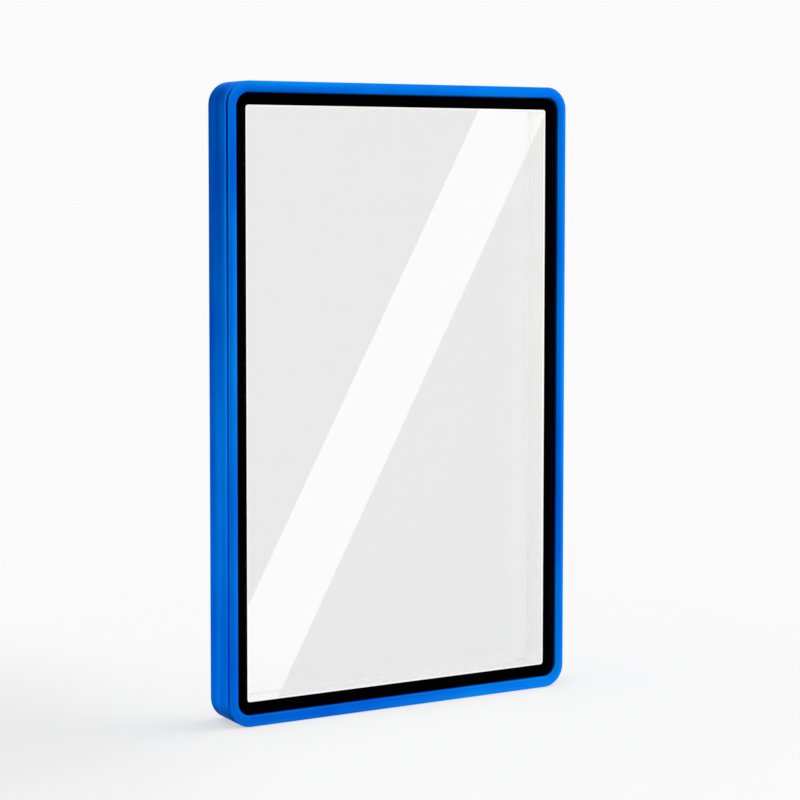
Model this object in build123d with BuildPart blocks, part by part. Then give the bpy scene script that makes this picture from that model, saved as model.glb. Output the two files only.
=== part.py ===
from build123d import *
import os
from typing import NamedTuple

# Magnetic display case for one graded card slab, in millimetres. It stands on its short bottom edge with
# +Z up and the cover facing -Y. The origin is on the ground under the middle of the case. Depths are
# measured back from the front rim face.

# The slab and the soft lining round it
slab_width = 81.0
slab_height = 136.3
slab_thickness = 6.2
slab_corner = 1.5
slab_clearance = 0.4
slab_float = 0.1
liner_wall = 0.6
lip_thickness = 0.4

# The windows and what holds them
glass_thickness = 1.1
glass_recess = 0.8
glass_clearance = 0.05
seat_corner = 3.2
ledge_width = 1.95
border_film = 0.1
border_side = 2.9
border_end = 2.75
border_corner = 0.7
tape_thickness = 0.2
lip_reveal = 0.4
lip_corner = 0.5

# The two frames
rim_side = 2.1
rim_end = 2.65
rim_edge = 0.5
bevel_length = 1.3
bevel_inset = 0.8
front_rounding = 0.3
rear_rounding = 0.8
inner_chamfer = 0.25
groove_gap = 0.2
groove_chamfer = 0.38
skirt_wall = 0.75
cover_clearance = 0.08

# The closing magnets
magnet_diameter = 2.0
magnet_length = 1.5
magnet_clearance = 0.03
magnet_recess = 0.1
magnet_floor = 0.6
magnet_from_end = 22.0
magnet_from_side = 14.0


class Outline(NamedTuple):
    """A rounded rectangle seen from the front."""

    width: float
    height: float
    corner: float

    def grown(self, side, end=None, corner=None):
        """The outline moved out at its sides and ends, with its corner concentric unless one is given."""
        end = side if end is None else end
        corner = self.corner + side if corner is None else corner
        return Outline(self.width + 2 * side, self.height + 2 * end, corner)


# Outlines, from the slab outwards
slab = Outline(slab_width, slab_height, slab_corner)
pocket = slab.grown(slab_clearance)
bore = pocket.grown(liner_wall)
seat = bore.grown(ledge_width, corner=seat_corner)
glass = seat.grown(-glass_clearance)
skirt = seat.grown(skirt_wall)
socket = skirt.grown(cover_clearance)
case = seat.grown(rim_side, rim_end)
view = seat.grown(-border_side, -border_end, border_corner)
lip = view.grown(-lip_reveal, corner=lip_corner)

# Depths of the faces, from the front rim face backwards
window_stack = glass_recess + glass_thickness + border_film
ledge_front = window_stack + tape_thickness
magnet_hole = magnet_length + magnet_recess
split_depth = ledge_front + magnet_floor + magnet_hole
case_depth = 2 * (window_stack + lip_thickness + slab_float) + slab_thickness
ledge_rear = case_depth - ledge_front
bevel_depth = rim_edge + bevel_length
socket_front = bevel_depth + groove_gap

# Magnets lie along the middle of the band between the pocket's bore and the outside of the skirt.
band_middle = (ledge_width + skirt_wall) / 2
magnet_x = bore.width / 2 + band_middle
magnet_z = bore.height / 2 + band_middle
side_magnet_z = bore.height / 2 - magnet_from_end
end_magnet_x = bore.width / 2 - magnet_from_side
magnet_places = [(x, z) for x in (-magnet_x, magnet_x) for z in (-side_magnet_z, side_magnet_z)]
magnet_places += [(x, z) for z in (-magnet_z, magnet_z) for x in (-end_magnet_x, end_magnet_x)]


def across(depth):
    """The plane across the case at a depth, centred on the slab, with its normal pointing backwards."""
    return Plane(
        origin=(0, depth - case_depth / 2, case.height / 2), x_dir=(-1, 0, 0), z_dir=(0, 1, 0)
    )


def ring(front, rear, outer, inner):
    """Adds a ring between two outlines, from one depth to another, to the part being built."""
    with BuildSketch(across(front)) as profile:
        RectangleRounded(*outer)
        RectangleRounded(*inner, mode=Mode.SUBTRACT)
    extrude(profile.sketch, amount=rear - front)


def magnet_holes(mouth, depth):
    """Sinks the magnets' blind holes from a face at one depth, forwards if the hole's depth is negative."""
    with BuildSketch(across(mouth)) as mouths:
        with Locations(*magnet_places):
            Circle(magnet_diameter / 2 + magnet_clearance)
    extrude(mouths.sketch, amount=depth, mode=Mode.SUBTRACT)


def save(piece, label):
    """Labels a finished piece and writes it to the file of that name."""
    piece.part.label = label
    export_step(piece.part, f"parts/{label}.step")


os.makedirs("parts", exist_ok=True)

# Front frame: a rim that overhangs the groove, then a skirt round the glass and a ledge behind it
with BuildPart() as front_frame:
    ring(0, bevel_depth, case, seat)
    rim_back = front_frame.faces().sort_by(Axis.Y)[-1]
    chamfer(rim_back.outer_wire().edges(), bevel_inset, bevel_length, reference=rim_back)
    front_face = front_frame.faces().sort_by(Axis.Y)[0]
    fillet(front_face.outer_wire().edges(), radius=front_rounding)
    front_face = front_frame.faces().sort_by(Axis.Y)[0]
    chamfer(front_face.inner_wires()[0].edges(), length=inner_chamfer)
    ring(bevel_depth, split_depth, skirt, seat)
    ring(ledge_front, split_depth, skirt, bore)
    magnet_holes(split_depth, -magnet_hole)
save(front_frame, "front_frame")

# Rear frame: a lip round the skirt, the pocket's wall, and a rim round the rear glass
with BuildPart() as rear_frame:
    ring(socket_front, split_depth, case, socket)
    chamfer(rear_frame.faces().sort_by(Axis.Y)[0].outer_wire().edges(), length=groove_chamfer)
    ring(split_depth, ledge_rear, case, bore)
    ring(ledge_rear, case_depth, case, seat)
    rear_face = rear_frame.faces().sort_by(Axis.Y)[-1]
    fillet(rear_face.outer_wire().edges(), radius=rear_rounding)
    rear_face = rear_frame.faces().sort_by(Axis.Y)[-1]
    chamfer(rear_face.inner_wires()[0].edges(), length=inner_chamfer)
    magnet_holes(split_depth, magnet_hole)
save(rear_frame, "rear_frame")

# Each frame's window, border film and tape, stacked inwards from the recess. The step is +1 in the front
# frame and -1 in the rear one, which is the same stack turned round.
for side, outer_face, step in (("front", 0, 1), ("rear", case_depth, -1)):
    glass_face = outer_face + step * glass_recess
    film_face = glass_face + step * glass_thickness
    tape_face = film_face + step * border_film

    with BuildPart() as window:
        with BuildSketch(across(glass_face)):
            RectangleRounded(*glass)
        extrude(amount=step * glass_thickness)
    save(window, f"{side}_window")

    with BuildPart() as border:
        ring(film_face, tape_face, glass, view)
    save(border, f"{side}_border")

    with BuildPart() as tape:
        ring(tape_face, tape_face + step * tape_thickness, glass, bore)
    save(tape, f"{side}_tape")

# Soft lining: a wall along the bore, with a thin lip in front of the slab and another behind it
with BuildPart() as front_gasket:
    ring(window_stack, window_stack + lip_thickness, bore, lip)
    ring(window_stack + lip_thickness, split_depth, bore, pocket)
save(front_gasket, "front_gasket")

with BuildPart() as rear_liner:
    rear_lip = case_depth - window_stack - lip_thickness
    ring(split_depth, rear_lip, bore, pocket)
    ring(rear_lip, rear_lip + lip_thickness, bore, lip)
save(rear_liner, "rear_liner")

# Magnets, in facing pairs: each lies at the bottom of its hole
for number, place in enumerate(magnet_places, start=1):
    for side, step in (("front", -1), ("rear", 1)):
        with BuildPart() as magnet:
            with BuildSketch(across(split_depth + step * magnet_recess)):
                with Locations(place):
                    Circle(magnet_diameter / 2)
            extrude(amount=step * magnet_length)
        save(magnet, f"{side}_magnet_{number}")
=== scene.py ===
"""Looks of a magnetic display case for one graded card slab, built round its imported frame.

All sizes in this file are in millimetres and are turned to metres where a mesh is made. A depth is
measured back from the front rim face, as a maker would with a gauge laid on the rim.
"""

import logging
import math
from collections.abc import Callable, Iterable
from dataclasses import dataclass
from enum import Enum
from functools import cache
from typing import ClassVar

import bmesh
import bpy
from bpy.types import Material, NodeOutputs, NodeSocket, NodeTree, Object
from mathutils import Matrix, Vector


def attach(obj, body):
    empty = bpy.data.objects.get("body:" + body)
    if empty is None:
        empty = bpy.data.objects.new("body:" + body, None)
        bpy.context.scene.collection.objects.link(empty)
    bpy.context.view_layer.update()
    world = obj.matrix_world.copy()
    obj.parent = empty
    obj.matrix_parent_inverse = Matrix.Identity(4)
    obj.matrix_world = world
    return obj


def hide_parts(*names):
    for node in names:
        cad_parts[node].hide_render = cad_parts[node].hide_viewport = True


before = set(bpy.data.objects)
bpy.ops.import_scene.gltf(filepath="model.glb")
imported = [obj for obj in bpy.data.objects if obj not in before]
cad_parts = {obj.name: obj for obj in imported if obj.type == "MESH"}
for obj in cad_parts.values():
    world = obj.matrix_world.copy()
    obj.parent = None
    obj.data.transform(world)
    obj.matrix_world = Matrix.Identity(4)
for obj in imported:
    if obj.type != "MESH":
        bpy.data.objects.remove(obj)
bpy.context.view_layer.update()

log = logging.getLogger("display_case")

MM = 0.001
CASE_DEPTH = 11.2
CENTRE_HEIGHT = 73.75
# The cover and the back close on each other at this depth.
JOINT_DEPTH = 4.4
CORNER_STEPS = 12
# How near a mesh point has to be, in millimetres, to count as on a depth and on an outline.
DEPTH_MATCH = 1e-3
OUTLINE_MATCH = 1e-2
# Cloudy patterns run from 0 to 1, but seldom leave this part of it.
CLOUD_RANGE = (0.3, 0.7)


# ----- Shaping tools -----


def spot(x: float, depth: float, z: float) -> Vector:
    """Turns a place on the case into a point of the scene.

    Args:
        x: Millimetres to the right of the middle.
        depth: Millimetres behind the front rim face.
        z: Millimetres above the middle of the case.

    Returns:
        The point in metres, in the shared frame.
    """
    return Vector((x, depth - CASE_DEPTH / 2, z + CENTRE_HEIGHT)) * MM


def depth_of(point: Vector) -> float:
    """Returns how many millimetres a point of the scene lies behind the front rim face."""
    return point.y / MM + CASE_DEPTH / 2


@dataclass(frozen=True)
class Outline:
    """A rounded rectangle seen from the front, centred on the slab."""

    width: float
    height: float
    corner: float

    def grown(self, by: float) -> "Outline":
        """Returns this outline moved outwards all round, with its corners concentric."""
        return Outline(self.width + 2 * by, self.height + 2 * by, self.corner + by)

    def distance(self, point: Vector) -> float:
        """Measures how far a point lies outside the outline, seen from the front.

        Args:
            point: A point of the scene, in metres.

        Returns:
            Millimetres, which are negative inside the outline.
        """
        across = abs(point.x / MM) - self.width / 2 + self.corner
        up = abs(point.z / MM - CENTRE_HEIGHT) - self.height / 2 + self.corner
        return math.hypot(max(across, 0), max(up, 0)) + min(max(across, up), 0) - self.corner


@dataclass(frozen=True)
class Section:
    """One corner of a ring's cross-section: an outline at a depth."""

    outline: Outline
    depth: float

    def holds(self, point: Vector) -> bool:
        """Says whether a mesh point lies on this outline at this depth."""
        if abs(depth_of(point) - self.depth) > DEPTH_MATCH:
            return False
        return abs(self.outline.distance(point)) < OUTLINE_MATCH


@dataclass(frozen=True)
class Rounding:
    """A radius to put on one edge of a ring."""

    section: Section
    radius: float
    steps: int = 4


def pick(chosen: Callable[[Vector], bool]) -> None:
    """Selects, in edit mode, the vertices that pass a test, and the edges and faces between them.

    Args:
        chosen: The test of a vertex's place.
    """
    bpy.ops.mesh.select_all(action="DESELECT")
    mesh = bpy.context.edit_object.data
    shape = bmesh.from_edit_mesh(mesh)
    for vertex in shape.verts:
        vertex.select = chosen(vertex.co)
    shape.select_flush_mode()
    bmesh.update_edit_mesh(mesh)


def add_shape(name: str, operator: Callable, **settings: object) -> Object:
    """Adds a simple shape as an object of its own.

    Args:
        name: The object's name.
        operator: The operator that adds the shape.
        **settings: The operator's properties.

    Returns:
        The new object, which is active and alone selected.
    """
    operator(**settings)
    shape = bpy.context.active_object
    shape.name = shape.data.name = name
    return shape


def start_piece(name: str) -> Object:
    """Starts an empty piece at the origin, in edit mode.

    Args:
        name: The piece's name.

    Returns:
        The new object.
    """
    piece = add_shape(name, bpy.ops.mesh.primitive_plane_add, size=MM)
    bpy.ops.object.mode_set(mode="EDIT")
    bpy.ops.mesh.delete(type="VERT")
    return piece


def add_outline(section: Section) -> None:
    """Adds one rounded outline, in edit mode, as a closed loop of edges.

    Args:
        section: The outline and its depth.
    """
    middle = spot(0, section.depth, 0)
    outline = section.outline
    bpy.ops.mesh.primitive_plane_add(size=1.0, location=middle, rotation=(math.pi / 2, 0, 0))
    bpy.ops.transform.resize(
        value=(outline.width * MM, 1.0, outline.height * MM), center_override=middle
    )
    bpy.ops.mesh.bevel(offset=outline.corner * MM, segments=CORNER_STEPS, affect="VERTICES")
    bpy.ops.mesh.delete(type="ONLY_FACE")


def add_band(first: Section, second: Section) -> None:
    """Adds a band of faces between two outlines, in edit mode, and hides it out of the way.

    Args:
        first: One edge of the band.
        second: The other edge.
    """
    add_outline(first)
    add_outline(second)
    bpy.ops.mesh.select_all(action="SELECT")
    bpy.ops.mesh.bridge_edge_loops()
    bpy.ops.mesh.select_all(action="SELECT")
    bpy.ops.mesh.hide()


def weld_bands() -> None:
    """Shows all bands again, in edit mode, joins them where they meet and turns them alike."""
    bpy.ops.mesh.reveal(select=True)
    bpy.ops.mesh.remove_doubles(threshold=0.001 * MM)
    bpy.ops.mesh.normals_make_consistent(inside=False)


def close_piece() -> None:
    """Turns all faces outwards and leaves edit mode."""
    bpy.ops.mesh.select_all(action="SELECT")
    bpy.ops.mesh.normals_make_consistent(inside=False)
    bpy.ops.object.mode_set(mode="OBJECT")


def build_ring(name: str, sections: list[Section], roundings: Iterable[Rounding] = ()) -> Object:
    """Builds a closed ring from the corners of its cross-section.

    Args:
        name: The piece's name.
        sections: The corners, in order round the cross-section.
        roundings: The edges that get a radius.

    Returns:
        The ring, in object mode.
    """
    piece = start_piece(name)
    for first, second in zip(sections, sections[1:] + sections[:1], strict=True):
        add_band(first, second)
    weld_bands()
    for rounding in roundings:
        pick(rounding.section.holds)
        bpy.ops.mesh.bevel(offset=rounding.radius * MM, segments=rounding.steps, affect="EDGES")
    close_piece()
    return piece


def build_pane(name: str, sections: list[Section]) -> Object:
    """Builds a solid pane from outlines that follow one another, with both ends closed.

    Args:
        name: The piece's name.
        sections: The outlines, from front to back.

    Returns:
        The pane, in object mode.
    """
    piece = start_piece(name)
    for first, second in zip(sections, sections[1:]):
        add_band(first, second)
    weld_bands()
    for end in (sections[0], sections[-1]):
        pick(end.holds)
        bpy.ops.mesh.edge_face_add()
    close_piece()
    return piece


def choose(*pieces: Object) -> None:
    """Selects pieces, and nothing else, and makes the first of them active."""
    bpy.ops.object.select_all(action="DESELECT")
    for piece in pieces:
        piece.select_set(True)
    bpy.context.view_layer.objects.active = pieces[0]


def apply_modifier(piece: Object, kind: str, **settings: object) -> None:
    """Adds a modifier to a piece and applies it.

    Args:
        piece: The piece.
        kind: The modifier's type.
        **settings: The modifier's properties.
    """
    choose(piece)
    modifier = piece.modifiers.new(kind.title(), kind)
    for name, value in settings.items():
        setattr(modifier, name, value)
    bpy.ops.object.modifier_apply(modifier=modifier.name)


def break_edges(piece: Object, width: float, steps: int = 2) -> None:
    """Takes the sharpness off every remaining edge of a piece.

    Args:
        piece: The piece.
        width: The width of the broken edge.
        steps: How many faces make up the edge.
    """
    apply_modifier(
        piece,
        "BEVEL",
        width=width * MM,
        segments=steps,
        limit_method="ANGLE",
        angle_limit=math.radians(40),
    )


def smooth_surface(piece: Object, angle: float = 50.0, mode: str = "FACE_AREA") -> None:
    """Shades a piece smooth.

    Args:
        piece: The piece.
        angle: Edges sharper than this many degrees stay sharp.
        mode: "FACE_AREA" keeps wide faces flat, and "CORNER_ANGLE" gives them a slight crown.
    """
    choose(piece)
    bpy.ops.object.shade_smooth_by_angle(angle=math.radians(angle))
    apply_modifier(piece, "WEIGHTED_NORMAL", mode=mode, keep_sharp=True)


# ----- Finishes -----


def linear(shade: str) -> tuple[float, float, float, float]:
    """Turns an sRGB hex colour into the linear colour that shaders use.

    Args:
        shade: The colour, such as "#0078F0".

    Returns:
        Linear red, green and blue, and an alpha of 1.
    """
    parts = [int(shade[i : i + 2], 16) / 255 for i in (1, 3, 5)]
    return (*(p / 12.92 if p <= 0.04045 else ((p + 0.055) / 1.055) ** 2.4 for p in parts), 1.0)


def add_node(
    tree: NodeTree, kind: str, inputs: dict | None = None, **settings: object
) -> NodeOutputs:
    """Adds a node with its settings, and fills or links its inputs.

    Args:
        tree: The node tree.
        kind: The node's type.
        inputs: What goes into each input, by name or number: a value or another node's output.
        **settings: The node's properties.

    Returns:
        The new node's outputs.
    """
    node = tree.nodes.new(kind)
    for name, value in settings.items():
        setattr(node, name, value)
    for name, value in (inputs or {}).items():
        if isinstance(value, NodeSocket):
            tree.links.new(value, node.inputs[name])
        else:
            node.inputs[name].default_value = value
    return node.outputs


def start_material(name: str) -> tuple[Material, NodeTree]:
    """Starts a material with no nodes in it.

    Args:
        name: The material's name.

    Returns:
        The material and its node tree.
    """
    material = bpy.data.materials.new(name)
    material.use_nodes = True
    material.node_tree.nodes.clear()
    return material, material.node_tree


def end_material(tree: NodeTree, shader: NodeSocket) -> None:
    """Joins a shader to the material's output."""
    add_node(tree, "ShaderNodeOutputMaterial", {"Surface": shader})


def object_place(tree: NodeTree) -> NodeSocket:
    """Returns the place on the piece, in metres from the shared origin."""
    return add_node(tree, "ShaderNodeTexCoord")["Object"]


def grain(tree: NodeTree, place: NodeSocket, size: float, detail: float = 2.0) -> NodeSocket:
    """Adds an even cloudy pattern of a real size.

    Args:
        tree: The node tree.
        place: The coordinates it reads, in metres.
        size: The width of one grain, in millimetres.
        detail: How many finer layers it has.

    Returns:
        The pattern, from 0 to 1.
    """
    inputs = {"Vector": place, "Scale": 1 / (size * MM), "Detail": detail}
    return add_node(tree, "ShaderNodeTexNoise", inputs)[0]


def spread(tree: NodeTree, pattern: NodeSocket, low: float, high: float) -> NodeSocket:
    """Stretches a cloudy pattern over a range of values.

    Args:
        tree: The node tree.
        pattern: The pattern, from 0 to 1.
        low: The value where the pattern is darkest.
        high: The value where it is lightest.

    Returns:
        The stretched value.
    """
    dark, light = CLOUD_RANGE
    inputs = {"Value": pattern, 1: dark, 2: light, 3: low, 4: high}
    return add_node(tree, "ShaderNodeMapRange", inputs)[0]


def past_core(tree: NodeTree, place: NodeSocket, outline: Outline) -> NodeSocket:
    """Adds nodes that tell how far a place lies past the core that an outline is rounded from.

    Args:
        tree: The material's node tree.
        place: The place, in metres.
        outline: The rounded outline, whose edge lies past its core by its corner radius.

    Returns:
        The distance in metres, which is nothing within the core.
    """
    half_width, half_height = outline.width / 2, outline.height / 2
    core = Vector((half_width - outline.corner, 0, half_height - outline.corner)) * MM
    for operation, value in (
        ("ADD", (0, 0, -CENTRE_HEIGHT * MM)),
        ("ABSOLUTE", (0, 0, 0)),
        ("SUBTRACT", core),
        ("MAXIMUM", (0, 0, 0)),
        ("MULTIPLY", (1, 0, 1)),
    ):
        inputs = {0: place, 1: value}
        place = add_node(tree, "ShaderNodeVectorMath", inputs, operation=operation)[0]
    return add_node(tree, "ShaderNodeVectorMath", {0: place}, operation="LENGTH")[1]


@dataclass(frozen=True)
class Relief:
    """A fine relief: its depth in millimetres, and the roughness of its hollows and its tops."""

    depth: float
    roughness: tuple[float, float]
    strength: float = 0.4


def end_surface(
    tree: NodeTree,
    colours: tuple[object, object],
    share: NodeSocket,
    relief: Relief,
    pattern: NodeSocket,
    optics: dict | None = None,
) -> None:
    """Adds a surface that blends two colours and has a relief, and joins it to the output.

    Args:
        tree: The material's node tree.
        colours: The first and the second colour, as linear colours or as other nodes' outputs.
        share: How much of the second colour there is, from 0 to 1.
        relief: The relief.
        pattern: The height of the relief, from 0 to 1.
        optics: What goes into the shader's other inputs.
    """
    inputs = {0: share, 6: colours[0], 7: colours[1]}
    colour = add_node(tree, "ShaderNodeMix", inputs, data_type="RGBA")
    inputs = {"Height": pattern, "Distance": relief.depth * MM, "Strength": relief.strength}
    bump = add_node(tree, "ShaderNodeBump", inputs)
    inputs = {
        "Base Color": colour[2],
        "Roughness": spread(tree, pattern, *relief.roughness),
        "Normal": bump[0],
        **(optics or {}),
    }
    end_material(tree, add_node(tree, "ShaderNodeBsdfPrincipled", inputs)[0])


@dataclass(frozen=True)
class AnodisedAluminium:
    """6063 aluminium, milled, blasted with fine glass beads, then dyed azure and sealed.

    The bead blast gives a satin sheen with a fine even grain. The dye takes a little more or less
    in bands that run with the milling, round the frame, and the metal under it mirrors the room
    in its own blue.
    """

    shade: str = "#0260DE"
    shade_light: str = "#068AF2"
    shade_grazing: str = "#9CC8FF"
    # The groove's painted shade: a deep blue that stands in for the shade inside the groove.
    groove_painted_shade: str = "#013A94"
    band_width: float = 3.4
    band_length: float = 55.0
    cloud_size: float = 14.0
    cloud_share: float = 0.25
    # The share of the light shade where the pattern is darkest and where it is lightest.
    dye_range: tuple[float, float] = (-0.1, 1.15)
    # Glass beads leave dimples of about 0.05; they are drawn coarser so that they show.
    bead_size: float = 0.22
    beads: Relief = Relief(0.004, (0.39, 0.45), 0.5)
    # The painted shade in the groove under the cover's rim: its first and last depth, and how
    # softly each begins.
    groove_depths: tuple[float, float] = (0.08, 1.99)
    groove_fades: tuple[float, float] = (0.25, 0.06)
    groove_reach: float = 3.8
    reach_fade: float = 0.068
    # The groove's painted shade is full above the second height and fades to almost none below the
    # first.
    groove_heights: tuple[float, float] = (60.0, 135.0)
    low_groove_shade: float = 0.05

    def make(self) -> Material:
        """Returns the finished material."""
        material, tree = start_material("azure_anodised_aluminium")
        place = object_place(tree)
        ring = self._ring_place(tree, place)
        inputs = {"Vector": ring, "Scale": 1.0, "Detail": 1.0}
        band = add_node(tree, "ShaderNodeTexNoise", inputs)[0]
        inputs = {0: self.cloud_share, 2: band, 3: grain(tree, place, self.cloud_size)}
        dye = add_node(tree, "ShaderNodeMix", inputs)[0]
        inputs = {
            0: spread(tree, dye, *self.dye_range),
            6: linear(self.shade),
            7: linear(self.shade_light),
        }
        dyed = add_node(tree, "ShaderNodeMix", inputs, data_type="RGBA")[2]
        # The last blend paints shade into the groove under the cover's rim.
        end_surface(
            tree,
            (dyed, linear(self.groove_painted_shade)),
            self._painted_groove_shade(tree, place, ring),
            self.beads,
            grain(tree, place, self.bead_size, 3.0),
            {"Metallic": 1.0, "Specular Tint": linear(self.shade_grazing)},
        )
        return material

    def _painted_groove_shade(self, tree: NodeTree, place: NodeSocket, ring: NodeSocket) -> NodeSocket:
        """Returns how far a place lies in the groove under the cover's rim, where shade is painted.
        """
        _, depth, height = add_node(tree, "ShaderNodeSeparateXYZ", {0: place})
        across = add_node(tree, "ShaderNodeSeparateXYZ", {0: ring})[0]
        front, back = (spot(0, edge, 0).y for edge in self.groove_depths)
        fade_in, fade_out = (fade * MM for fade in self.groove_fades)
        low, high = (edge * MM for edge in self.groove_heights)
        skirt = self.groove_reach / self.band_width
        skirt_end = skirt + self.reach_fade / self.band_width
        inside = 1.0
        for value, start, end, before, after in (
            (height, low, high, self.low_groove_shade, 1.0),
            (depth, front, front + fade_in, 0.0, 1.0),
            (depth, back - fade_out, back, 1.0, 0.0),
            (across, skirt, skirt_end, 0.0, 1.0),
        ):
            inputs = {"Value": value, 1: start, 2: end, 3: before, 4: after}
            inputs = {0: inside, 1: add_node(tree, "ShaderNodeMapRange", inputs)[0]}
            inside = add_node(tree, "ShaderNodeMath", inputs, operation="MULTIPLY")[0]
        return inside

    def _ring_place(self, tree: NodeTree, place: NodeSocket) -> NodeSocket:
        """Returns coordinates that run round the frame: across it, through it and along it."""
        across = past_core(tree, place, CASE)
        inputs = {0: place, 1: (1, 0, 1)}
        along = add_node(tree, "ShaderNodeVectorMath", inputs, operation="DOT_PRODUCT")[1]
        through = add_node(tree, "ShaderNodeSeparateXYZ", {0: place})[1]
        joined = add_node(tree, "ShaderNodeCombineXYZ", {0: across, 1: through, 2: along})[0]
        width, length = self.band_width * MM, self.band_length * MM
        inputs = {0: joined, 1: (1 / width, 1 / width, 1 / length)}
        return add_node(tree, "ShaderNodeVectorMath", inputs, operation="MULTIPLY")[0]


@dataclass(frozen=True)
class ClearGlass:
    """Float glass with seamed edges and polished faces.

    It mirrors about 4% at each face and takes almost no colour. The tin bath leaves the faces
    flat enough that a lamp's reflection keeps its straight edges. Its edge is inked black, so that
    it doesn't glow. Lamps are let through, so that what lies behind it is lit.
    """

    name: str = "clear_float_glass"
    body: str = "#FCFCFC"
    shade_ink: str = "#030305"
    inked_edge: float = 0.12
    ink_fade: float = 0.01
    haze_size: float = 30.0
    haze: float = 0.004
    ior: float = 1.5

    def make(self) -> Material:
        """Returns the finished material."""
        material, tree = start_material(self.name)
        place = object_place(tree)
        inputs = {
            "Base Color": linear(self.body),
            "Roughness": spread(tree, grain(tree, place, self.haze_size, 1.0), 0.0, self.haze),
            "IOR": self.ior,
            "Transmission Weight": 1.0,
        }
        glass = add_node(tree, "ShaderNodeBsdfPrincipled", inputs)[0]
        clear = add_node(tree, "ShaderNodeBsdfTransparent")[0]
        path = add_node(tree, "ShaderNodeLightPath")
        inputs = {0: path["Is Shadow Ray"], 1: path["Is Diffuse Ray"]}
        lamp = add_node(tree, "ShaderNodeMath", inputs, operation="MAXIMUM")[0]
        inputs = {0: lamp, 1: glass, 2: clear}
        pane = add_node(tree, "ShaderNodeMixShader", inputs)[0]
        start = (GLASS.corner - self.inked_edge) * MM
        inputs = {"Value": past_core(tree, place, GLASS), 1: start, 2: start + self.ink_fade * MM}
        inked = add_node(tree, "ShaderNodeMapRange", inputs)[0]
        ink = add_node(tree, "ShaderNodeBsdfDiffuse", {"Color": linear(self.shade_ink)})[0]
        inputs = {0: inked, 1: pane, 2: ink}
        end_material(tree, add_node(tree, "ShaderNodeMixShader", inputs)[0])
        return material


@dataclass(frozen=True)
class CoatedGlass(ClearGlass):
    """The same glass with a sputtered low-reflection coat, for the window at the back.

    The coat cuts what each face mirrors to about 1%, as for a clear body of a lower index, so
    that the inside of the case isn't seen twice.
    """

    name: str = "low_reflection_glass"
    ior: float = 1.22


@dataclass(frozen=True)
class BlackEnamel:
    """Black ceramic ink, screen printed on the back of the glass and cured.

    Seen through the glass it is a deep even black. Its own face has a faint orange peel.
    """

    shade: str = "#020204"
    shade_thin: str = "#050507"
    peel_size: float = 0.8
    peel: Relief = Relief(0.003, (0.36, 0.46))

    def make(self) -> Material:
        """Returns the finished material."""
        material, tree = start_material("black_screen_enamel")
        shades = linear(self.shade), linear(self.shade_thin)
        peel = grain(tree, object_place(tree), self.peel_size)
        end_surface(tree, shades, peel, self.peel, peel, {"Specular IOR Level": 0.0})
        return material


@dataclass(frozen=True)
class FoamTape:
    """Black acrylic foam tape, slit to width. Its cells make it dull and slightly pitted."""

    shade: str = "#0B0B0C"
    shade_cell: str = "#161617"
    cell_size: float = 0.18
    cells: Relief = Relief(0.03, (0.8, 0.95), 0.6)

    def make(self) -> Material:
        """Returns the finished material."""
        material, tree = start_material("black_foam_tape")
        shades = linear(self.shade), linear(self.shade_cell)
        inputs = {"Vector": object_place(tree), "Scale": 1 / (self.cell_size * MM)}
        cells = add_node(tree, "ShaderNodeTexVoronoi", inputs)["Distance"]
        end_surface(tree, shades, cells, self.cells, cells)
        return material


@dataclass(frozen=True)
class MouldedSilicone:
    """White silicone rubber, moulded in a spark-eroded tool.

    The tool's texture leaves a soft even matt, and the rubber has a faint milky depth.
    """

    name: str = "white_moulded_silicone"
    shade: str = "#F8F8F7"
    shade_low: str = "#F4F4F3"
    milk_size: float = 9.0
    texture_size: float = 0.15
    texture: Relief = Relief(0.01, (0.5, 0.62))
    ior: float = 1.41

    def make(self) -> Material:
        """Returns the finished material."""
        material, tree = start_material(self.name)
        shades = linear(self.shade_low), linear(self.shade)
        place = object_place(tree)
        milk, skin = grain(tree, place, self.milk_size), grain(tree, place, self.texture_size)
        end_surface(tree, shades, milk, self.texture, skin, {"IOR": self.ior})
        return material


@dataclass(frozen=True)
class ShadedSilicone(MouldedSilicone):
    """The same rubber a shade greyer, for the pocket's wall and back lip: painted shade, so that
    the deep pocket looks darker than the cover's lip.
    """

    name: str = "shaded_moulded_silicone"
    shade: str = "#EAEAE9"
    shade_low: str = "#E6E6E5"


@dataclass(frozen=True)
class NickelPlate:
    """Neodymium magnets, tumbled and plated with bright nickel, which leaves a fine orange peel."""

    shade: str = "#C9C5BC"
    shade_dull: str = "#B9B5AC"
    cloud_size: float = 0.7
    peel_size: float = 0.12
    peel: Relief = Relief(0.004, (0.16, 0.26))

    def make(self) -> Material:
        """Returns the finished material."""
        material, tree = start_material("bright_nickel_plate")
        shades = linear(self.shade_dull), linear(self.shade)
        place = object_place(tree)
        cloud, peel = grain(tree, place, self.cloud_size), grain(tree, place, self.peel_size)
        end_surface(tree, shades, cloud, self.peel, peel, {"Metallic": 1.0})
        return material


class Finish(Enum):
    """The case's material slots, and the finish that each is given."""

    METAL = ("anodised_aluminium", AnodisedAluminium)
    GLASS = ("clear_glass", ClearGlass)
    BACK_GLASS = ("clear_glass", CoatedGlass)
    ENAMEL = ("black_film", BlackEnamel)
    TAPE = ("adhesive", FoamTape)
    RUBBER = ("silicone", MouldedSilicone)
    # The back lining's greyer rubber is painted shade for the deep pocket.
    SHADED_RUBBER = ("silicone", ShadedSilicone)
    NICKEL = ("plated_magnet", NickelPlate)

    @property
    def slot(self) -> str:
        """The name of the material slot."""
        return self.value[0]

    @cache
    def material(self) -> Material:
        """Returns the finish's material, which is made the first time it is asked for."""
        return self.value[1]().make()


class Body(Enum):
    """The two bodies that the pull-off joint moves apart."""

    CASE = "root"
    COVER = "front_cover"


def dress(piece: Object, finish: Finish) -> None:
    """Gives a piece its finish, in place of any other.

    Args:
        piece: A new piece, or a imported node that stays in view.
        finish: The finish.
    """
    if not piece.material_slots:
        piece.data.materials.append(None)
    for slot in piece.material_slots:
        slot.material = finish.material()


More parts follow.
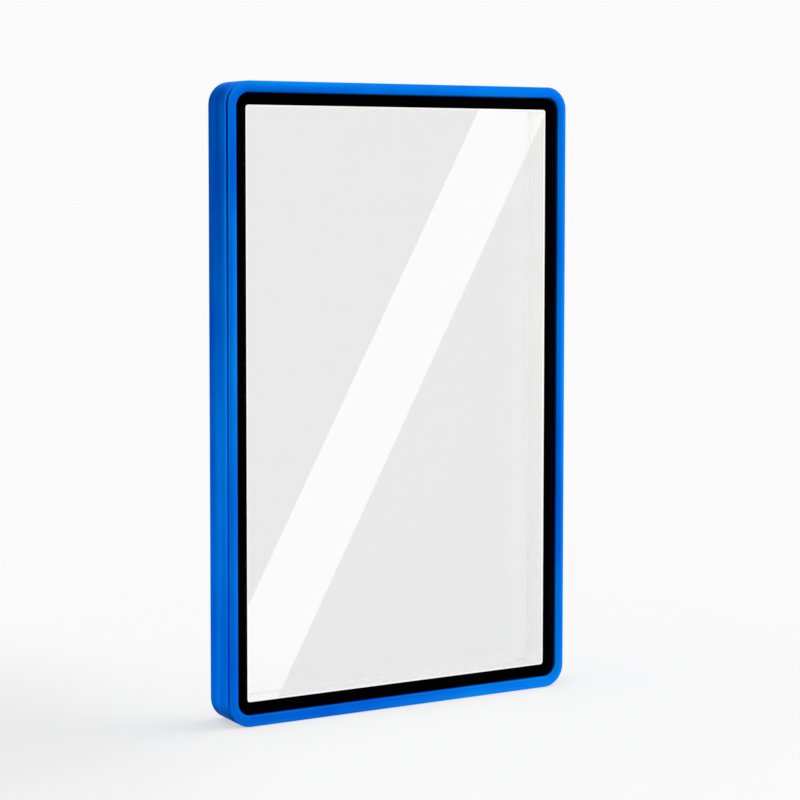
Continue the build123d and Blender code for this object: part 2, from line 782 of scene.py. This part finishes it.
def hand_in(piece: Object, body: Body, node: str, finish: Finish) -> None:
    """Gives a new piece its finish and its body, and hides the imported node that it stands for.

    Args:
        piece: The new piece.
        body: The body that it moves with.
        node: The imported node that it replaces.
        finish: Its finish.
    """
    dress(piece, finish)
    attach(piece, body.value)
    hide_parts(node)
    log.info("%s: %d faces, stands for %s", piece.name, len(piece.data.polygons), node)


# ----- The case's outlines and sub-assemblies -----

CASE = Outline(91.1, 147.5, 5.3)
SOCKET = Outline(88.56, 143.86, 4.03)
SKIRT = Outline(88.4, 143.7, 3.95)
SEAT = Outline(86.9, 142.2, 3.2)
GLASS = Outline(86.8, 142.1, 3.15)
BORE = Outline(83.0, 138.3, 2.5)
POCKET = Outline(81.8, 137.1, 1.9)
LIP = Outline(80.3, 135.9, 0.5)


@dataclass(frozen=True)
class MagnetSet:
    """The closing magnets, in facing pairs sunk in the joint face of each frame."""

    radius: float = 1.0
    length: float = 1.5
    edge: float = 0.12
    sides: int = 40
    recess: float = 0.1
    hole_radius: float = 1.03
    hole_depth: float = 1.6
    hole_sides: int = 36
    countersink: float = 0.1
    # How far the cutter stands out of the joint face.
    overshoot: float = 0.3
    side_x: float = 42.85
    side_z: float = 47.15
    end_x: float = 27.5
    end_z: float = 70.5

    def places(self) -> list[tuple[float, float]]:
        """Returns the magnets' places across the case, in the order of their numbers."""
        sides = [(x, z) for x in (-self.side_x, self.side_x) for z in (-self.side_z, self.side_z)]
        ends = [(x, z) for z in (-self.end_z, self.end_z) for x in (-self.end_x, self.end_x)]
        return sides + ends

    def drill(self, piece: Object, way: int) -> None:
        """Sinks the eight countersunk holes in a frame's joint face.

        Args:
            piece: The frame.
            way: 1 for holes that go backwards from the joint face, and -1 for forwards.
        """
        mouth = JOINT_DEPTH + way * self.countersink
        bottom = JOINT_DEPTH + way * self.hole_depth
        cutter = self._turned("cutter", self.hole_sides, self.hole_radius, (mouth, bottom))
        bpy.ops.object.mode_set(mode="EDIT")
        pick(lambda point: abs(depth_of(point) - mouth) < DEPTH_MATCH)
        flare = 1 + self.countersink / self.hole_radius
        for reach, scale in ((self.countersink, flare), (self.overshoot, 1.0)):
            bpy.ops.mesh.extrude_region_move(
                TRANSFORM_OT_translate={"value": (0, -way * reach * MM, 0)}
            )
            bpy.ops.transform.resize(
                value=(scale, 1.0, scale), center_override=spot(0, JOINT_DEPTH, 0)
            )
        close_piece()
        copies = [self._copied(cutter, f"cutter_{i}", p) for i, p in enumerate(self.places())]
        bpy.data.objects.remove(cutter)
        choose(*copies)
        bpy.ops.object.join()
        apply_modifier(piece, "BOOLEAN", operation="DIFFERENCE", object=copies[0], solver="EXACT")
        bpy.data.objects.remove(copies[0])

    def build(self, body: Body, way: int, prefix: str, node: str) -> None:
        """Turns one magnet, and copies it to each hole of a frame.

        Args:
            body: The body that the magnets move with.
            way: 1 for magnets behind the joint face, and -1 for those in front of it.
            prefix: What the new pieces' names start with.
            node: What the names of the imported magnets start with.
        """
        near = JOINT_DEPTH + way * self.recess
        ends = (near, near + way * self.length)
        pattern = self._turned("pattern", self.sides, self.radius, ends)
        break_edges(pattern, self.edge, steps=3)
        smooth_surface(pattern)
        for number, place in enumerate(self.places(), start=1):
            magnet = self._copied(pattern, f"{prefix}_{number}", place)
            hand_in(magnet, body, f"{node}_{number}", Finish.NICKEL)
        bpy.data.objects.remove(pattern)

    @staticmethod
    def _turned(name: str, sides: int, radius: float, ends: tuple[float, float]) -> Object:
        """Returns a cylinder in the case's middle that reaches from one depth to another."""
        cylinder = add_shape(
            name,
            bpy.ops.mesh.primitive_cylinder_add,
            vertices=sides,
            radius=radius * MM,
            depth=abs(ends[1] - ends[0]) * MM,
            location=spot(0, sum(ends) / 2, 0),
            rotation=(math.pi / 2, 0, 0),
        )
        bpy.ops.object.transform_apply()
        return cylinder

    @staticmethod
    def _copied(pattern: Object, name: str, place: tuple[float, float]) -> Object:
        """Returns a copy of a piece from the case's middle, with its own mesh at a place."""
        copy = pattern.copy()
        copy.data = pattern.data.copy()
        copy.name = copy.data.name = name
        copy.data.transform(Matrix.Translation(Vector((place[0], 0, place[1])) * MM))
        bpy.context.scene.collection.objects.link(copy)
        return copy


@dataclass(frozen=True)
class WindowStack:
    """A pane, with the black border printed behind it and the tape that holds it to the ledge."""

    body: Body
    side: str
    name: str
    outer_face: float
    way: int
    glass: Finish = Finish.GLASS
    recess: float = 0.8
    thickness: float = 1.1
    seam: float = 0.015
    # Faces that touch can't be told apart by a ray, so the pane stops just short of the print.
    print_gap: float = 0.01

    def build(self) -> None:
        """Builds the pane and finishes the border and the tape."""
        near = self.outer_face + self.way * self.recess
        far = near + self.way * (self.thickness - self.print_gap)
        seamed = GLASS.grown(-self.seam)
        sections = [
            Section(seamed, near),
            Section(GLASS, near + self.way * self.seam),
            Section(GLASS, far - self.way * self.seam),
            Section(seamed, far),
        ]
        pane = build_pane(self.name, sections)
        smooth_surface(pane, angle=30.0)
        hand_in(pane, self.body, f"{self.side}_window", self.glass)
        for part, finish in (("border", Finish.ENAMEL), ("tape", Finish.TAPE)):
            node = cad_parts[f"{self.side}_{part}"]
            dress(node, finish)
            log.info("%s: kept, finished as %s", node.name, finish.slot)


@dataclass(frozen=True)
class CoverFrame:
    """The cover: a rim that overhangs the groove, a skirt round the glass and a ledge behind it."""

    magnets: MagnetSet
    rim_edge: float = 0.5
    bevel_depth: float = 1.8
    bevel_inset: float = 0.8
    ledge_front: float = 2.2
    front_rounding: float = 0.2
    inner_chamfer: float = 0.25
    broken_edge: float = 0.05

    def build(self) -> None:
        """Builds the frame, its window and its magnets."""
        outer_front = Section(CASE, 0.0)
        inner_front = Section(SEAT, 0.0)
        sections = [
            outer_front,
            Section(CASE, self.rim_edge),
            Section(CASE.grown(-self.bevel_inset), self.bevel_depth),
            Section(SKIRT, self.bevel_depth),
            Section(SKIRT, JOINT_DEPTH),
            Section(BORE, JOINT_DEPTH),
            Section(BORE, self.ledge_front),
            Section(SEAT, self.ledge_front),
            inner_front,
        ]
        roundings = [
            Rounding(outer_front, self.front_rounding, steps=5),
            Rounding(inner_front, self.inner_chamfer, steps=1),
        ]
        piece = build_ring("cover_frame", sections, roundings)
        break_edges(piece, self.broken_edge)
        self.magnets.drill(piece, -1)
        smooth_surface(piece, mode="CORNER_ANGLE")
        hand_in(piece, Body.COVER, "front_frame", Finish.METAL)
        WindowStack(
            body=Body.COVER, side="front", name="cover_window", outer_face=0.0, way=1
        ).build()
        self.magnets.build(Body.COVER, -1, "cover_magnet", "front_magnet")


@dataclass(frozen=True)
class BackFrame:
    """The back: a lip round the skirt, the pocket's wall, and a rim round the rear window."""

    magnets: MagnetSet
    lip_front: float = 2.0
    groove_chamfer: float = 0.38
    ledge_rear: float = 9.0
    rear_rounding: float = 0.8
    inner_chamfer: float = 0.25
    broken_edge: float = 0.05

    def build(self) -> None:
        """Builds the frame, its window and its magnets."""
        outer_front = Section(CASE, self.lip_front)
        outer_rear = Section(CASE, CASE_DEPTH)
        inner_rear = Section(SEAT, CASE_DEPTH)
        sections = [
            Section(SOCKET, self.lip_front),
            outer_front,
            outer_rear,
            inner_rear,
            Section(SEAT, self.ledge_rear),
            Section(BORE, self.ledge_rear),
            Section(BORE, JOINT_DEPTH),
            Section(SOCKET, JOINT_DEPTH),
        ]
        roundings = [
            Rounding(outer_front, self.groove_chamfer, steps=1),
            Rounding(outer_rear, self.rear_rounding, steps=8),
            Rounding(inner_rear, self.inner_chamfer, steps=1),
        ]
        piece = build_ring("back_frame", sections, roundings)
        break_edges(piece, self.broken_edge)
        self.magnets.drill(piece, 1)
        smooth_surface(piece)
        hand_in(piece, Body.CASE, "rear_frame", Finish.METAL)
        WindowStack(
            body=Body.CASE,
            side="rear",
            name="back_window",
            outer_face=CASE_DEPTH,
            way=-1,
            glass=Finish.BACK_GLASS,
        ).build()
        self.magnets.build(Body.CASE, 1, "back_magnet", "rear_magnet")


@dataclass(frozen=True)
class Lining:
    """The soft lining: a wall along the bore, with a thin lip in front of the slab or behind it."""

    body: Body
    node: str
    name: str
    lip_start: float
    lip_end: float
    rubber: Finish
    softness: float = 0.12

    def build(self) -> None:
        """Builds the lining."""
        sections = [
            Section(BORE, JOINT_DEPTH),
            Section(BORE, self.lip_end),
            Section(LIP, self.lip_end),
            Section(LIP, self.lip_start),
            Section(POCKET, self.lip_start),
            Section(POCKET, JOINT_DEPTH),
        ]
        piece = build_ring(self.name, sections)
        break_edges(piece, self.softness, steps=3)
        smooth_surface(piece)
        hand_in(piece, self.body, self.node, self.rubber)


# ----- The studio -----


def direction(azimuth: float, elevation: float) -> Vector:
    """Returns a direction, in degrees, where azimuth 0 is the front and 90 is the right side."""
    a, e = math.radians(azimuth), math.radians(elevation)
    return Vector((math.sin(a) * math.cos(e), -math.cos(a) * math.cos(e), math.sin(e)))


@dataclass(frozen=True)
class Camera:
    """A 100 mm lens with a little fall, to the left of the case and above its middle."""

    FRAME: ClassVar[int] = 800
    SENSOR: ClassVar[float] = 36.0

    lens: float = 100.0
    azimuth: float = -29.91
    elevation: float = 3.58
    roll: float = 0.057
    distance: float = 522.6
    fall: float = 0.1105
    target: tuple[float, float, float] = (-1.15, -5.6, 94.18)

    def axes(self) -> tuple[Vector, Vector, Vector]:
        """Returns the camera's right, up and back directions."""
        back = direction(self.azimuth, self.elevation)
        right = Vector((0, 0, 1)).cross(back).normalized()
        turn = Matrix.Rotation(math.radians(self.roll), 3, back)
        return turn @ right, turn @ back.cross(right), back

    def place(self) -> Vector:
        """Returns the camera's place, in metres."""
        return (Vector(self.target) + self.axes()[2] * self.distance) * MM

    def ray(self, column: float, row: float) -> Vector:
        """Returns the direction from the camera through a pixel of the picture."""
        right, up, back = self.axes()
        pixels = self.lens / self.SENSOR * self.FRAME
        across = (column - self.FRAME / 2) / pixels
        down = (row - self.FRAME * (0.5 - self.fall)) / pixels
        return (right * across - up * down - back).normalized()

    def build(self) -> None:
        """Puts the camera in the scene."""
        data = bpy.data.cameras.new("camera")
        data.lens, data.sensor_width, data.clip_end = self.lens, self.SENSOR, 100.0
        data.shift_y = -self.fall
        camera = bpy.data.objects.new("camera", data)
        right, up, back = self.axes()
        turned = Matrix((right, up, back)).transposed().to_4x4()
        camera.matrix_world = Matrix.Translation(self.place()) @ turned
        bpy.context.scene.collection.objects.link(camera)
        bpy.context.scene.camera = camera


def mirrored(tree: NodeTree) -> NodeSocket:
    """Returns 1 for light that reaches the eye by way of a mirroring face, and 0 for the rest."""
    depth = add_node(tree, "ShaderNodeLightPath")["Glossy Depth"]
    return add_node(tree, "ShaderNodeMath", {0: depth, 1: 0.5}, operation="GREATER_THAN")[0]


def seen_directly(tree: NodeTree) -> NodeSocket:
    """Returns 1 for light that the camera, metal or glass shows, and 0 for light that lands."""
    path = add_node(tree, "ShaderNodeLightPath")
    seen = path["Is Camera Ray"]
    for kind in ("Is Glossy Ray", "Is Transmission Ray"):
        inputs = {0: seen, 1: path[kind]}
        seen = add_node(tree, "ShaderNodeMath", inputs, operation="MAXIMUM")[0]
    return seen


def hang(card: Object, level: float, fades: tuple[float, ...] = ()) -> None:
    """Makes a card a stage piece of one level that shows in reflections alone.

    Args:
        card: The card.
        level: How bright it is, where 1 is white.
        fades: The shares of the width and the height over which each side fades out.
    """
    material, tree = start_material(f"{card.name}_glow")
    shown = mirrored(tree)
    for axis, fade in enumerate(fades):
        value = add_node(tree, "ShaderNodeSeparateXYZ", {0: object_place(tree)})[axis]
        off = add_node(tree, "ShaderNodeMath", {0: value}, operation="ABSOLUTE")[0]
        inputs = {"Value": off, 1: 0.5 - fade, 2: 0.5, 3: 1.0, 4: 0.0}
        part = add_node(tree, "ShaderNodeMapRange", inputs, interpolation_type="SMOOTHSTEP")[0]
        inputs = {0: shown, 1: part}
        shown = add_node(tree, "ShaderNodeMath", inputs, operation="MULTIPLY")[0]
    glow = add_node(tree, "ShaderNodeEmission", {"Strength": level})[0]
    clear = add_node(tree, "ShaderNodeBsdfTransparent")[0]
    inputs = {0: shown, 1: clear, 2: glow}
    end_material(tree, add_node(tree, "ShaderNodeMixShader", inputs)[0])
    material.cycles.emission_sampling = "NONE"
    card.data.materials.append(material)
    card.visible_camera = card.visible_diffuse = card.visible_shadow = False


@dataclass(frozen=True)
class Card:
    """A flat card hung far from the case, facing it, that only shiny surfaces see.

    It fills the given degrees as the case sees it, and round these it fades out softly.
    """

    name: str
    azimuth: tuple[float, float]
    elevation: tuple[float, float]
    level: float
    distance: float = 30.0
    softness: float = 7.0

    def build(self) -> None:
        """Hangs the card."""
        spans = self.azimuth, self.elevation
        azimuth, elevation = (sum(span) / 2 for span in spans)
        across, up = (span[1] - span[0] + 2 * self.softness for span in spans)
        width, height = (2 * math.tan(math.radians(span) / 2) for span in (across, up))
        away = direction(azimuth, elevation)
        plane = bpy.ops.mesh.primitive_plane_add
        card = add_shape(self.name, plane, size=1.0, location=away * self.distance)
        squeeze = math.cos(math.radians(elevation))
        card.scale = (width * self.distance * squeeze, height * self.distance, 1)
        card.rotation_mode = "QUATERNION"
        card.rotation_quaternion = (-away).to_track_quat("Z", "Y")
        hang(card, self.level, (self.softness / across, self.softness / up))


@dataclass(frozen=True)
class GlareStrip:
    """A slanted strip light, far off, whose mirror image crosses the front window.

    Its corners are the pixels where the camera has to see them.
    """

    corners: tuple[tuple[float, float], ...] = (
        (478.8, 109.0),
        (545.0, 111.0),
        (545.0, 113.4),
        (277.7, 697.0),
        (248.0, 701.0),
        (248.0, 605.9),
    )
    level: float = 1.55
    distance: float = 28.0
    mirror_depth: float = 5.6

    def build(self, camera: Camera) -> None:
        """Hangs the strip where the camera sees it in the glass.

        Args:
            camera: The camera, whose rays are turned back at the window.
        """
        circle = bpy.ops.mesh.primitive_circle_add
        sides = len(self.corners)
        strip = add_shape("glare_strip", circle, vertices=sides, fill_type="NGON")
        mirror = spot(0, self.mirror_depth, 0).y
        eye = camera.place()
        eye.y = 2 * mirror - eye.y
        middle = camera.ray(camera.FRAME / 2, camera.FRAME / 2)
        middle.y = -middle.y
        for vertex, corner in zip(strip.data.vertices, self.corners, strict=True):
            ray = camera.ray(*corner)
            ray.y = -ray.y
            vertex.co = eye + ray * (self.distance / ray.dot(middle))
        hang(strip, self.level)


@dataclass(frozen=True)
class Lamp:
    """A soft lamp, far off, that lights one piece.

    Its level is that of white light on a face turned to it, and its width is in degrees.
    """

    name: str
    lit: str
    direction: tuple[float, float, float]
    level: float
    width: float = 20.0

    def build(self) -> None:
        """Hangs the lamp."""
        data = bpy.data.lights.new(self.name, "SUN")
        data.energy, data.angle = self.level * math.pi, math.radians(self.width)
        lamp = bpy.data.objects.new(self.name, data)
        lamp.rotation_mode = "QUATERNION"
        lamp.rotation_quaternion = Vector(self.direction).to_track_quat("Z", "Y")
        bpy.context.scene.collection.objects.link(lamp)
        alone = bpy.data.collections.new(f"{self.name}_lights")
        alone.objects.link(bpy.data.objects[self.lit])
        lamp.light_linking.receiver_collection = alone
        # The floor would stand in the way of a lamp that shines up from under it.
        if self.direction[2] < 0:
            lamp.light_linking.blocker_collection = alone


@dataclass(frozen=True)
class Studio:
    """A white sweep under even light, with one broad lamp for it and soft ones for the lining.

    Black, white and grey cards round it shade what the glass and the metal mirror.
    """

    white: str = "#FAFAFA"
    diffuse_level: float = 1.05
    # The mirrored surroundings darken from the second of these slopes down to the first.
    nadir_slopes: tuple[float, float] = (-0.6, -0.3)
    nadir_level: float = 0.25
    floor_size: float = 16.0
    floor_share: float = 0.45
    floor_shade: str = "#E2E2E2"
    lamps: tuple[Lamp, ...] = (
        Lamp("floor_lamp", "floor", (0.93, -0.18, 0.36), 0.7, 60.0),
        Lamp("gasket_lamp", "cover_gasket", (-0.45, -0.88, 0.12), 0.36),
        Lamp("wall_lamp", "back_liner", (-0.86, -0.51, 0.0), 0.44),
        Lamp("sill_lamp", "back_liner", (0.0, -0.37, 0.93), 0.19),
        Lamp("soffit_lamp", "back_liner", (0.0, -0.1, -0.99), 0.5),
    )
    cards: tuple[Card, ...] = (
        Card("glass_card", (8.0, 34.8), (-14.8, 2.9), 0.0),
        Card("left_card", (-42.0, 24.0), (-38.0, 38.0), 0.95, 50.0),
        Card("front_card", (25.0, 62.0), (-32.0, 38.0), 1.9, 70.0),
        Card("side_card", (-176.0, -86.0), (-2.0, 46.0), 0.39),
    )
    # A painted soft shadow makes the sweep a little greyer to the left of the case.
    painted_shadow_place: tuple[float, float] = (-110.0, 35.0)
    painted_shadow_reach: tuple[float, float] = (96.0, 165.0)
    painted_shadow_strength: float = 0.2

    def build(self, camera: Camera) -> None:
        """Builds the floor, the world, the lamps and the cards.

        Args:
            camera: The camera, which the glare strip is hung for.
        """
        self._world()
        self._floor()
        for lamp in self.lamps:
            lamp.build()
        GlareStrip().build(camera)
        for card in self.cards:
            card.build()

    def _world(self) -> None:
        """Makes the white surroundings, whose mirror image darkens towards the ground."""
        world = bpy.data.worlds.new("studio")
        bpy.context.scene.world = world
        world.use_nodes = True
        tree = world.node_tree
        tree.nodes.clear()
        direction = add_node(tree, "ShaderNodeTexCoord")["Generated"]
        slope = add_node(tree, "ShaderNodeSeparateXYZ", {0: direction})[2]
        low, high = self.nadir_slopes
        inputs = {"Value": slope, 1: low, 2: high, 3: self.nadir_level, 4: 1.0}
        ground = add_node(tree, "ShaderNodeMapRange", inputs, interpolation_type="SMOOTHSTEP")[0]
        inputs = {0: mirrored(tree), 2: 1.0, 3: ground}
        shown = add_node(tree, "ShaderNodeMix", inputs)[0]
        inputs = {0: seen_directly(tree), 2: self.diffuse_level, 3: shown}
        level = add_node(tree, "ShaderNodeMix", inputs)[0]
        inputs = {"Color": linear(self.white), "Strength": level}
        light = add_node(tree, "ShaderNodeBackground", inputs)[0]
        add_node(tree, "ShaderNodeOutputWorld", {"Surface": light})

    def _floor(self) -> None:
        """Lays the white floor, which shows shadows softly, has a painted shadow to the left of the
        case and isn't mirrored.
        """
        floor = add_shape("floor", bpy.ops.mesh.primitive_plane_add, size=self.floor_size)
        material, tree = start_material("white_sweep")
        # The painted shadow: the floor's glow dims within an ellipse to the left of the case.
        inputs = {
            "Vector": object_place(tree),
            "Location": (*(v * MM for v in self.painted_shadow_place), 0),
            "Scale": (*(v * MM for v in self.painted_shadow_reach), 1),
        }
        place = add_node(tree, "ShaderNodeMapping", inputs, vector_type="TEXTURE")[0]
        shadow_distance = add_node(tree, "ShaderNodeVectorMath", {0: place}, operation="LENGTH")[1]
        inputs = {"Value": shadow_distance, 1: 0.0, 2: 1.0, 3: 1.0 - self.painted_shadow_strength, 4: 1.0}
        unshadowed = add_node(tree, "ShaderNodeMapRange", inputs, interpolation_type="SMOOTHERSTEP")[0]
        inputs = {"Color": linear(self.white), "Strength": unshadowed}
        glow = add_node(tree, "ShaderNodeEmission", inputs)[0]
        inputs = {"Color": linear(self.floor_shade)}
        matt = add_node(tree, "ShaderNodeBsdfDiffuse", inputs)[0]
        inputs = {0: seen_directly(tree), 2: 0.0, 3: 1 - self.floor_share}
        share = add_node(tree, "ShaderNodeMix", inputs)[0]
        mixed = add_node(tree, "ShaderNodeMixShader", {0: share, 1: matt, 2: glow})[0]
        clear = add_node(tree, "ShaderNodeBsdfTransparent")[0]
        inputs = {0: mirrored(tree), 1: mixed, 2: clear}
        end_material(tree, add_node(tree, "ShaderNodeMixShader", inputs)[0])
        material.cycles.emission_sampling = "NONE"
        floor.data.materials.append(material)
        floor.visible_glossy = False


def main() -> None:
    """Builds the case's pieces in order, then the studio round them."""
    logging.basicConfig(level=logging.INFO, format="%(name)s: %(message)s")
    magnets = MagnetSet()
    CoverFrame(magnets).build()
    BackFrame(magnets).build()
    Lining(
        body=Body.COVER,
        node="front_gasket",
        name="cover_gasket",
        lip_start=2.4,
        lip_end=2.0,
        rubber=Finish.RUBBER,
    ).build()
    Lining(
        body=Body.CASE,
        node="rear_liner",
        name="back_liner",
        lip_start=8.8,
        lip_end=9.2,
        rubber=Finish.SHADED_RUBBER,
    ).build()
    camera = Camera()
    camera.build()
    Studio().build(camera)
    bpy.context.scene.view_settings.view_transform = "Standard"


if __name__ == "__main__":
    main()
